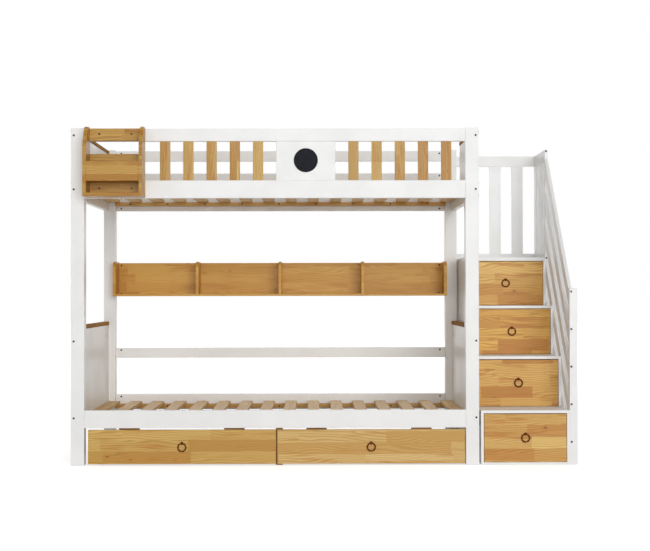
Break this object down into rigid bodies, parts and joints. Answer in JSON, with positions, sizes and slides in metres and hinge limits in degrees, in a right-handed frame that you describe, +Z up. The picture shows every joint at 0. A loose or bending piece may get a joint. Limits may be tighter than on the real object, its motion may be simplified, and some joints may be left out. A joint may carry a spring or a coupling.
{
  "type": "bunk bed",
  "caption": "Bunk bed with slatted bases, a front guard with a bedside caddy, a hanging shelf, roll-out drawers underneath and a staircase with drawers and a handrail",
  "frame": {"origin": "on the floor at the middle of the footprint of the whole bed with its stairs", "axes": "+X along the bed's length towards the stairs, +Y from the front posts to the back, +Z up"},
  "size_m": [2.4862, 1.1852, 1.656],
  "materials": {
    "white_paint": "smooth white lacquer over wood",
    "pine": "clear satin lacquer over finger-jointed pine",
    "slat_wood": "plain sanded pine",
    "disc_black": "matt dark face",
    "bolt_dark": "dark plated",
    "bronze": "antique bronze",
    "wheel_plastic": "moulded dark plastic"
  },
  "bodies": {
    "bed_frame": {"frame_bolts": "bolt_dark", "ledger_screws": "bolt_dark", "slat_ledgers": "slat_wood", "front_left_post": "white_paint", "back_left_post": "white_paint", "front_right_post": "white_paint", "back_right_post": "white_paint", "lower_side_rails": "white_paint", "upper_side_rails": "white_paint", "front_guard_top_rail": "white_paint", "back_guard_rails": "white_paint", "front_guard_slats": "pine", "front_guard_panel": "white_paint", "guard_panel_disc": "disc_black", "lower_end_panels": "white_paint", "upper_end_panels": "white_paint", "end_panel_caps": "pine", "lower_slats": "slat_wood", "upper_slats": "slat_wood", "drawer_stop_blocks": "pine", "centre_leg": "pine", "hanging_shelf": "pine", "bedside_caddy": "pine", "stair_left_panel": "white_paint", "stair_right_panel": "white_paint", "stair_treads": "white_paint", "stair_landing": "white_paint", "stair_back_panel": "white_paint", "newel_post": "white_paint", "landing_post": "white_paint", "sloped_rails": "white_paint", "landing_guard": "white_paint"},
    "left_drawer": {"left_drawer_front": "pine", "left_drawer_box": "white_paint", "left_drawer_pull_base": "bronze"},
    "left_drawer_pull": {"left_drawer_ring": "bronze"},
    "left_drawer_front_wheel_pair": {"left_drawer_front_wheels": "wheel_plastic"},
    "left_drawer_rear_wheel_pair": {"left_drawer_rear_wheels": "wheel_plastic"},
    "right_drawer": {"right_drawer_front": "pine", "right_drawer_box": "white_paint", "right_drawer_pull_base": "bronze"},
    "right_drawer_pull": {"right_drawer_ring": "bronze"},
    "right_drawer_front_wheel_pair": {"right_drawer_front_wheels": "wheel_plastic"},
    "right_drawer_rear_wheel_pair": {"right_drawer_rear_wheels": "wheel_plastic"},
    "stair_drawer_1": {"stair_drawer_1_front": "pine", "stair_drawer_1_box": "pine", "stair_drawer_1_pull_base": "bronze"},
    "stair_drawer_1_pull": {"stair_drawer_1_ring": "bronze"},
    "stair_drawer_2": {"stair_drawer_2_front": "pine", "stair_drawer_2_box": "pine", "stair_drawer_2_pull_base": "bronze"},
    "stair_drawer_2_pull": {"stair_drawer_2_ring": "bronze"},
    "stair_drawer_3": {"stair_drawer_3_front": "pine", "stair_drawer_3_box": "pine", "stair_drawer_3_pull_base": "bronze"},
    "stair_drawer_3_pull": {"stair_drawer_3_ring": "bronze"},
    "stair_drawer_4": {"stair_drawer_4_front": "pine", "stair_drawer_4_box": "pine", "stair_drawer_4_pull_base": "bronze"},
    "stair_drawer_4_pull": {"stair_drawer_4_ring": "bronze"}
  },
  "joints": [
    {"name": "left_drawer_slide", "type": "slide", "parent": "bed_frame", "child": "left_drawer", "axis": [0, -1, 0], "range_m": [0, 0.65]},
    {"name": "left_drawer_ring_swing", "type": "hinge", "parent": "left_drawer", "child": "left_drawer_pull", "pos_m": [-0.6979, -0.4778, 0.1088], "axis": [-1, 0, 0], "range_deg": [0, 175]},
    {"name": "left_drawer_front_roll", "type": "hinge", "parent": "left_drawer", "child": "left_drawer_front_wheel_pair", "pos_m": [-0.6979, -0.3946, 0.02], "axis": [1, 0, 0], "continuous": true},
    {"name": "left_drawer_rear_roll", "type": "hinge", "parent": "left_drawer", "child": "left_drawer_rear_wheel_pair", "pos_m": [-0.6979, 0.3154, 0.02], "axis": [1, 0, 0], "continuous": true},
    {"name": "right_drawer_slide", "type": "slide", "parent": "bed_frame", "child": "right_drawer", "axis": [0, -1, 0], "range_m": [0, 0.65]},
    {"name": "right_drawer_ring_swing", "type": "hinge", "parent": "right_drawer", "child": "right_drawer_pull", "pos_m": [0.2291, -0.4778, 0.1088], "axis": [-1, 0, 0], "range_deg": [0, 175]},
    {"name": "right_drawer_front_roll", "type": "hinge", "parent": "right_drawer", "child": "right_drawer_front_wheel_pair", "pos_m": [0.2291, -0.3946, 0.02], "axis": [1, 0, 0], "continuous": true},
    {"name": "right_drawer_rear_roll", "type": "hinge", "parent": "right_drawer", "child": "right_drawer_rear_wheel_pair", "pos_m": [0.2291, 0.3154, 0.02], "axis": [1, 0, 0], "continuous": true},
    {"name": "stair_drawer_1_slide", "type": "slide", "parent": "bed_frame", "child": "stair_drawer_1", "axis": [0, -1, 0], "range_m": [0, 0.3]},
    {"name": "stair_drawer_1_ring_swing", "type": "hinge", "parent": "stair_drawer_1", "child": "stair_drawer_1_pull", "pos_m": [0.9866, -0.4738, 0.1503], "axis": [-1, 0, 0], "range_deg": [0, 175]},
    {"name": "stair_drawer_2_slide", "type": "slide", "parent": "bed_frame", "child": "stair_drawer_2", "axis": [0, -1, 0], "range_m": [0, 0.3]},
    {"name": "stair_drawer_2_ring_swing", "type": "hinge", "parent": "stair_drawer_2", "child": "stair_drawer_2_pull", "pos_m": [0.9866, -0.2548, 0.4048], "axis": [-1, 0, 0], "range_deg": [0, 175]},
    {"name": "stair_drawer_3_slide", "type": "slide", "parent": "bed_frame", "child": "stair_drawer_3", "axis": [0, -1, 0], "range_m": [0, 0.3]},
    {"name": "stair_drawer_3_ring_swing", "type": "hinge", "parent": "stair_drawer_3", "child": "stair_drawer_3_pull", "pos_m": [0.9866, -0.0358, 0.6593], "axis": [-1, 0, 0], "range_deg": [0, 175]},
    {"name": "stair_drawer_4_slide", "type": "slide", "parent": "bed_frame", "child": "stair_drawer_4", "axis": [0, -1, 0], "range_m": [0, 0.3]},
    {"name": "stair_drawer_4_ring_swing", "type": "hinge", "parent": "stair_drawer_4", "child": "stair_drawer_4_pull", "pos_m": [0.9866, 0.1832, 0.9138], "axis": [-1, 0, 0], "range_deg": [0, 175]}
  ],
  "couplings": [
    {"joint": "left_drawer_front_roll", "follows": "left_drawer_slide", "rad_per_m": 50},
    {"joint": "left_drawer_rear_roll", "follows": "left_drawer_slide", "rad_per_m": 50},
    {"joint": "right_drawer_front_roll", "follows": "right_drawer_slide", "rad_per_m": 50},
    {"joint": "right_drawer_rear_roll", "follows": "right_drawer_slide", "rad_per_m": 50}
  ]
}
